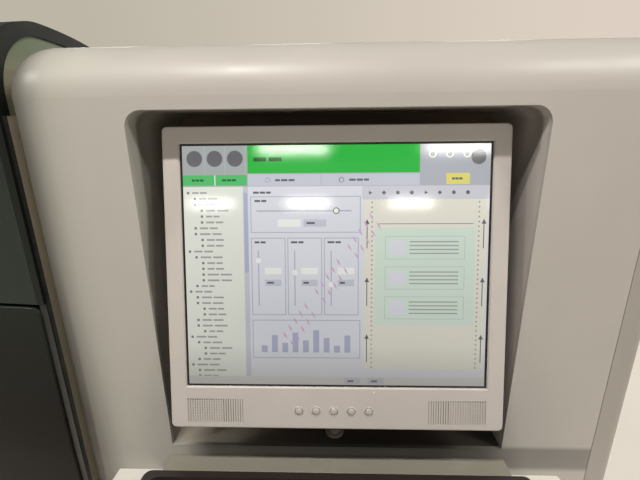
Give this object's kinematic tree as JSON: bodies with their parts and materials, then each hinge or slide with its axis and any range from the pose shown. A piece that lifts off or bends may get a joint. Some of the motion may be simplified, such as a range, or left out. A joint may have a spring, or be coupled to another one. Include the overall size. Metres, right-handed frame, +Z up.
{
  "type": "operator console of a continuous feed printer",
  "caption": "Operator console of a continuous feed printer: a light grey floor-standing housing with a recessed tilted monitor and worktop, beside a bay with dark green covers.",
  "frame": {"origin": "centre of the footprint at floor level", "axes": "+X to the operator's right, +Y into the machine, +Z up; the operator stands on the -Y side"},
  "size_m": [1.266, 1.1, 1.56],
  "materials": {
    "housing_grey": "satin",
    "cover_green": "gloss",
    "trim_dark": "satin",
    "gasket_black": "matte",
    "base_dark": "satin",
    "steel": "satin",
    "worktop_white": "satin",
    "tray_black": "satin",
    "bezel_plastic": "satin",
    "screen_glass": "gloss"
  },
  "bodies": {
    "root": {"console_fascia": "housing_grey", "console_top_cover": "housing_grey", "console_end_cover": "housing_grey", "console_left_panel": "housing_grey", "console_rear_panel": "housing_grey", "console_lower_door": "housing_grey", "recess_liner": "housing_grey", "recess_back_wall": "housing_grey", "recess_floor": "housing_grey", "front_ledge": "housing_grey", "bay_hood": "cover_green", "bay_lower_cover": "cover_green", "bay_hood_end_left": "cover_green", "bay_hood_end_right": "cover_green", "bay_left_panel": "cover_green", "bay_top_deck": "cover_green", "bay_rear_panel": "cover_green", "bay_cover_jamb": "trim_dark", "bay_hood_rim_left": "trim_dark", "bay_hood_rim_right": "trim_dark", "bay_right_panel": "trim_dark", "bay_cross_rail": "trim_dark", "bay_gasket": "gasket_black", "console_base_pan": "base_dark", "bay_base_pan": "base_dark", "console_plinth": "base_dark", "bay_plinth": "base_dark", "console_feet": "steel", "bay_feet": "steel", "monitor_mount_plate": "steel", "monitor_arm": "steel", "worktop_bracket_left": "steel", "worktop_bracket_right": "steel", "recess_lock": "steel", "worktop": "worktop_white", "keyboard_tray": "tray_black", "monitor_bezel": "bezel_plastic", "monitor_back_shell": "bezel_plastic", "monitor_buttons": "bezel_plastic", "monitor_screen": "screen_glass"}
  },
  "joints": []
}
